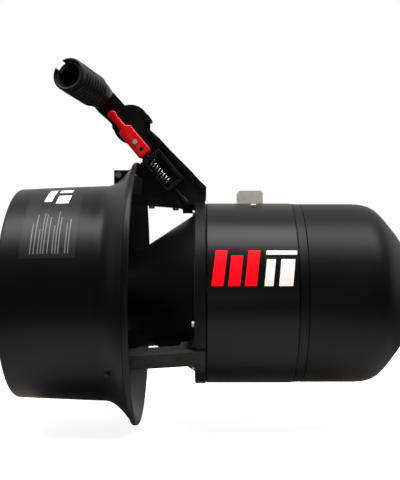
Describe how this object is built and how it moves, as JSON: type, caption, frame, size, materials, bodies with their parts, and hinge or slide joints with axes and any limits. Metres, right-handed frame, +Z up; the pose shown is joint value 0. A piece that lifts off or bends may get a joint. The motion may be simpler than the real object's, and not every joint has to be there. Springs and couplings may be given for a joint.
{
  "type": "underwater scooter",
  "caption": "Torpedo-shaped diver's scooter: battery hull, motor hull, tail cone and flared propeller duct, with a folding side grip and a red pull trigger.",
  "frame": {"origin": "on the hull axis, half way along the straight wall of the battery hull", "axes": "+X along the hull towards the nose, +Z up towards the handle, +Y to the scooter's left, so the grip points to -Y"},
  "size_m": [0.4415, 0.2906, 0.3854],
  "materials": {
    "alloy": "machined",
    "block_grey": "bead blasted",
    "board_green": "circuit board",
    "bracket_black": "black glass-filled plastic",
    "capacitor": "sleeved",
    "cell_wrap": "shrink sleeved cells",
    "cone_black": "black anodised",
    "copper": "enamelled winding",
    "frame_black": "black powder coat",
    "hull_black": "black anodised, satin",
    "lamination": "laminated",
    "lead": "cast",
    "magnet": "nickel plated",
    "o_ring_rubber": "smooth",
    "plug_plastic": "moulded",
    "rod_black": "blackened",
    "rubber_black": "ribbed",
    "seal_black": "moulded",
    "shroud_black": "black moulded plastic, satin",
    "spring_steel": "stainless spring wire",
    "steel": "stainless",
    "trigger_red": "red anodised",
    "washer_plastic": "acetal",
    "wire_red": "silicone"
  },
  "bodies": {
    "hull": {"mid_hull": "hull_black", "nose_hull": "hull_black", "joint_collar": "hull_black", "rear_o_ring": "o_ring_rubber", "front_o_ring": "o_ring_rubber", "spider_frame": "frame_black", "tail_cone": "cone_black", "shroud": "shroud_black", "shroud_screws": "steel", "flange_screws": "steel", "accessory_block": "block_grey", "accessory_screws": "steel", "hull_side_screw": "steel", "handle_bracket": "bracket_black", "bracket_screws": "steel", "clamp_block": "bracket_black", "clamp_cross_bolt": "steel", "lip_bolt": "steel", "spring_cage": "bracket_black", "return_spring": "spring_steel", "reed_switch": "board_green", "pivot_bolt": "steel", "friction_washer": "washer_plastic", "motor_plate": "alloy", "motor_stator": "lamination", "motor_windings": "copper", "front_bearing": "steel", "middle_bearing": "steel", "tail_bearing": "steel", "shaft_seal": "seal_black", "electronics_tray": "alloy", "controller_board": "board_green", "controller_capacitors": "capacitor", "phase_wires": "wire_red", "power_plug": "plug_plastic", "battery_rack": "alloy", "battery_cells": "cell_wrap", "ballast_weight": "lead", "trim_weight": "lead"},
    "propeller": {"propeller_shaft": "steel", "propeller": "shroud_black", "propeller_bush": "rubber_black", "shear_pin": "steel", "propeller_washer": "steel", "propeller_nut": "steel", "spinner_cap": "shroud_black", "rotor_can": "lamination", "rotor_magnets": "magnet"},
    "trigger": {"trigger": "trigger_red", "trigger_screw": "steel", "slide_nut": "steel", "pull_rod": "rod_black", "spring_collar": "rod_black", "switch_magnet": "rod_black"},
    "grip": {"grip_neck": "bracket_black", "grip_tube": "bracket_black", "grip_sleeve": "rubber_black", "grip_screw": "steel"}
  },
  "joints": [
    {"name": "propeller_spin", "type": "hinge", "parent": "hull", "child": "propeller", "pos_m": [-0.2575, 0, 0], "axis": [1, 0, 0], "continuous": true},
    {"name": "grip_fold", "type": "hinge", "parent": "hull", "child": "grip", "pos_m": [-0.2155, 0, 0.1885], "axis": [0, -1, 0], "range_deg": [0, 60]},
    {"name": "trigger_pull", "type": "slide", "parent": "hull", "child": "trigger", "axis": [-0.6428, 0, 0.766], "range_m": [0, 0.007], "stiffness_N_per_m": 800, "springref_m": -0.004, "deforming": ["return_spring"]}
  ]
}
